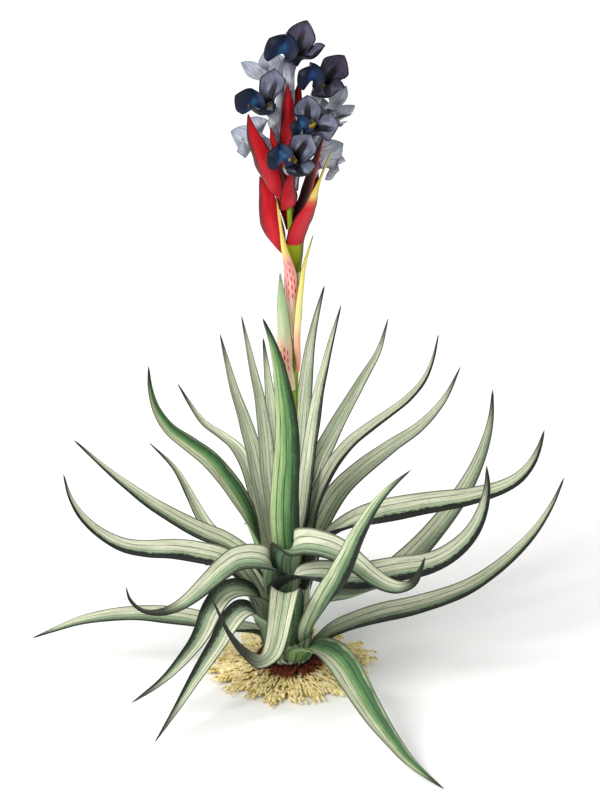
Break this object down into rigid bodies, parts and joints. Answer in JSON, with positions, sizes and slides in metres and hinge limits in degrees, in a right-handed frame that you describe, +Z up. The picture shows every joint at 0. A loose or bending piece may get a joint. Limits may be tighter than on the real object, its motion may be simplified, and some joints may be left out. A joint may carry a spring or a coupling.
{
  "type": "air plant",
  "caption": "Stricta air plant in flower: a rosette of pale channelled leaves on a mat of wiry roots, with a spike of red bracts and dark blue flowers.",
  "frame": {"origin": "point on the ground plane under the stem axis, at the flat underside of the root mat", "axes": "+Z up along the stem and the flower spike, -Y towards the front of the plant, +X to its right; right-handed, metres"},
  "size_m": [0.161, 0.151, 0.2135],
  "materials": {
    "stem": "matte",
    "leaf": "matte",
    "withered_sheath": "matte",
    "root": "matte",
    "scape": "satin",
    "pale_bract": "satin",
    "red_bract": "satin",
    "flower": "satin"
  },
  "bodies": {
    "root": {"stem": "stem", "leaf_01": "leaf", "leaf_02": "leaf", "leaf_03": "leaf", "leaf_04": "leaf", "leaf_05": "leaf", "leaf_06": "leaf", "leaf_07": "leaf", "leaf_08": "leaf", "leaf_09": "leaf", "leaf_10": "leaf", "leaf_11": "leaf", "leaf_12": "leaf", "leaf_13": "leaf", "leaf_14": "leaf", "leaf_15": "leaf", "leaf_16": "leaf", "leaf_17": "leaf", "leaf_18": "leaf", "leaf_19": "leaf", "leaf_20": "leaf", "leaf_21": "leaf", "leaf_22": "leaf", "leaf_23": "leaf", "leaf_24": "leaf", "leaf_25": "leaf", "leaf_26": "leaf", "leaf_27": "leaf", "leaf_28": "leaf", "leaf_29": "leaf", "leaf_30": "leaf", "withered_sheaths": "withered_sheath", "root_mat": "root", "scape": "scape", "scape_bract_1": "pale_bract", "scape_bract_2": "pale_bract", "scape_bract_3": "pale_bract", "scape_bract_4": "pale_bract", "floral_bract_01": "red_bract", "floral_bract_02": "red_bract", "floral_bract_03": "red_bract", "floral_bract_04": "red_bract", "floral_bract_05": "red_bract", "floral_bract_06": "red_bract", "floral_bract_07": "red_bract", "floral_bract_08": "red_bract", "floral_bract_09": "red_bract", "floral_bract_10": "red_bract", "floral_bract_11": "red_bract", "flower_01": "flower", "flower_02": "flower", "flower_03": "flower", "flower_04": "flower", "flower_05": "flower", "flower_06": "flower", "flower_07": "flower", "flower_08": "flower", "flower_09": "flower", "flower_10": "flower"}
  },
  "joints": []
}
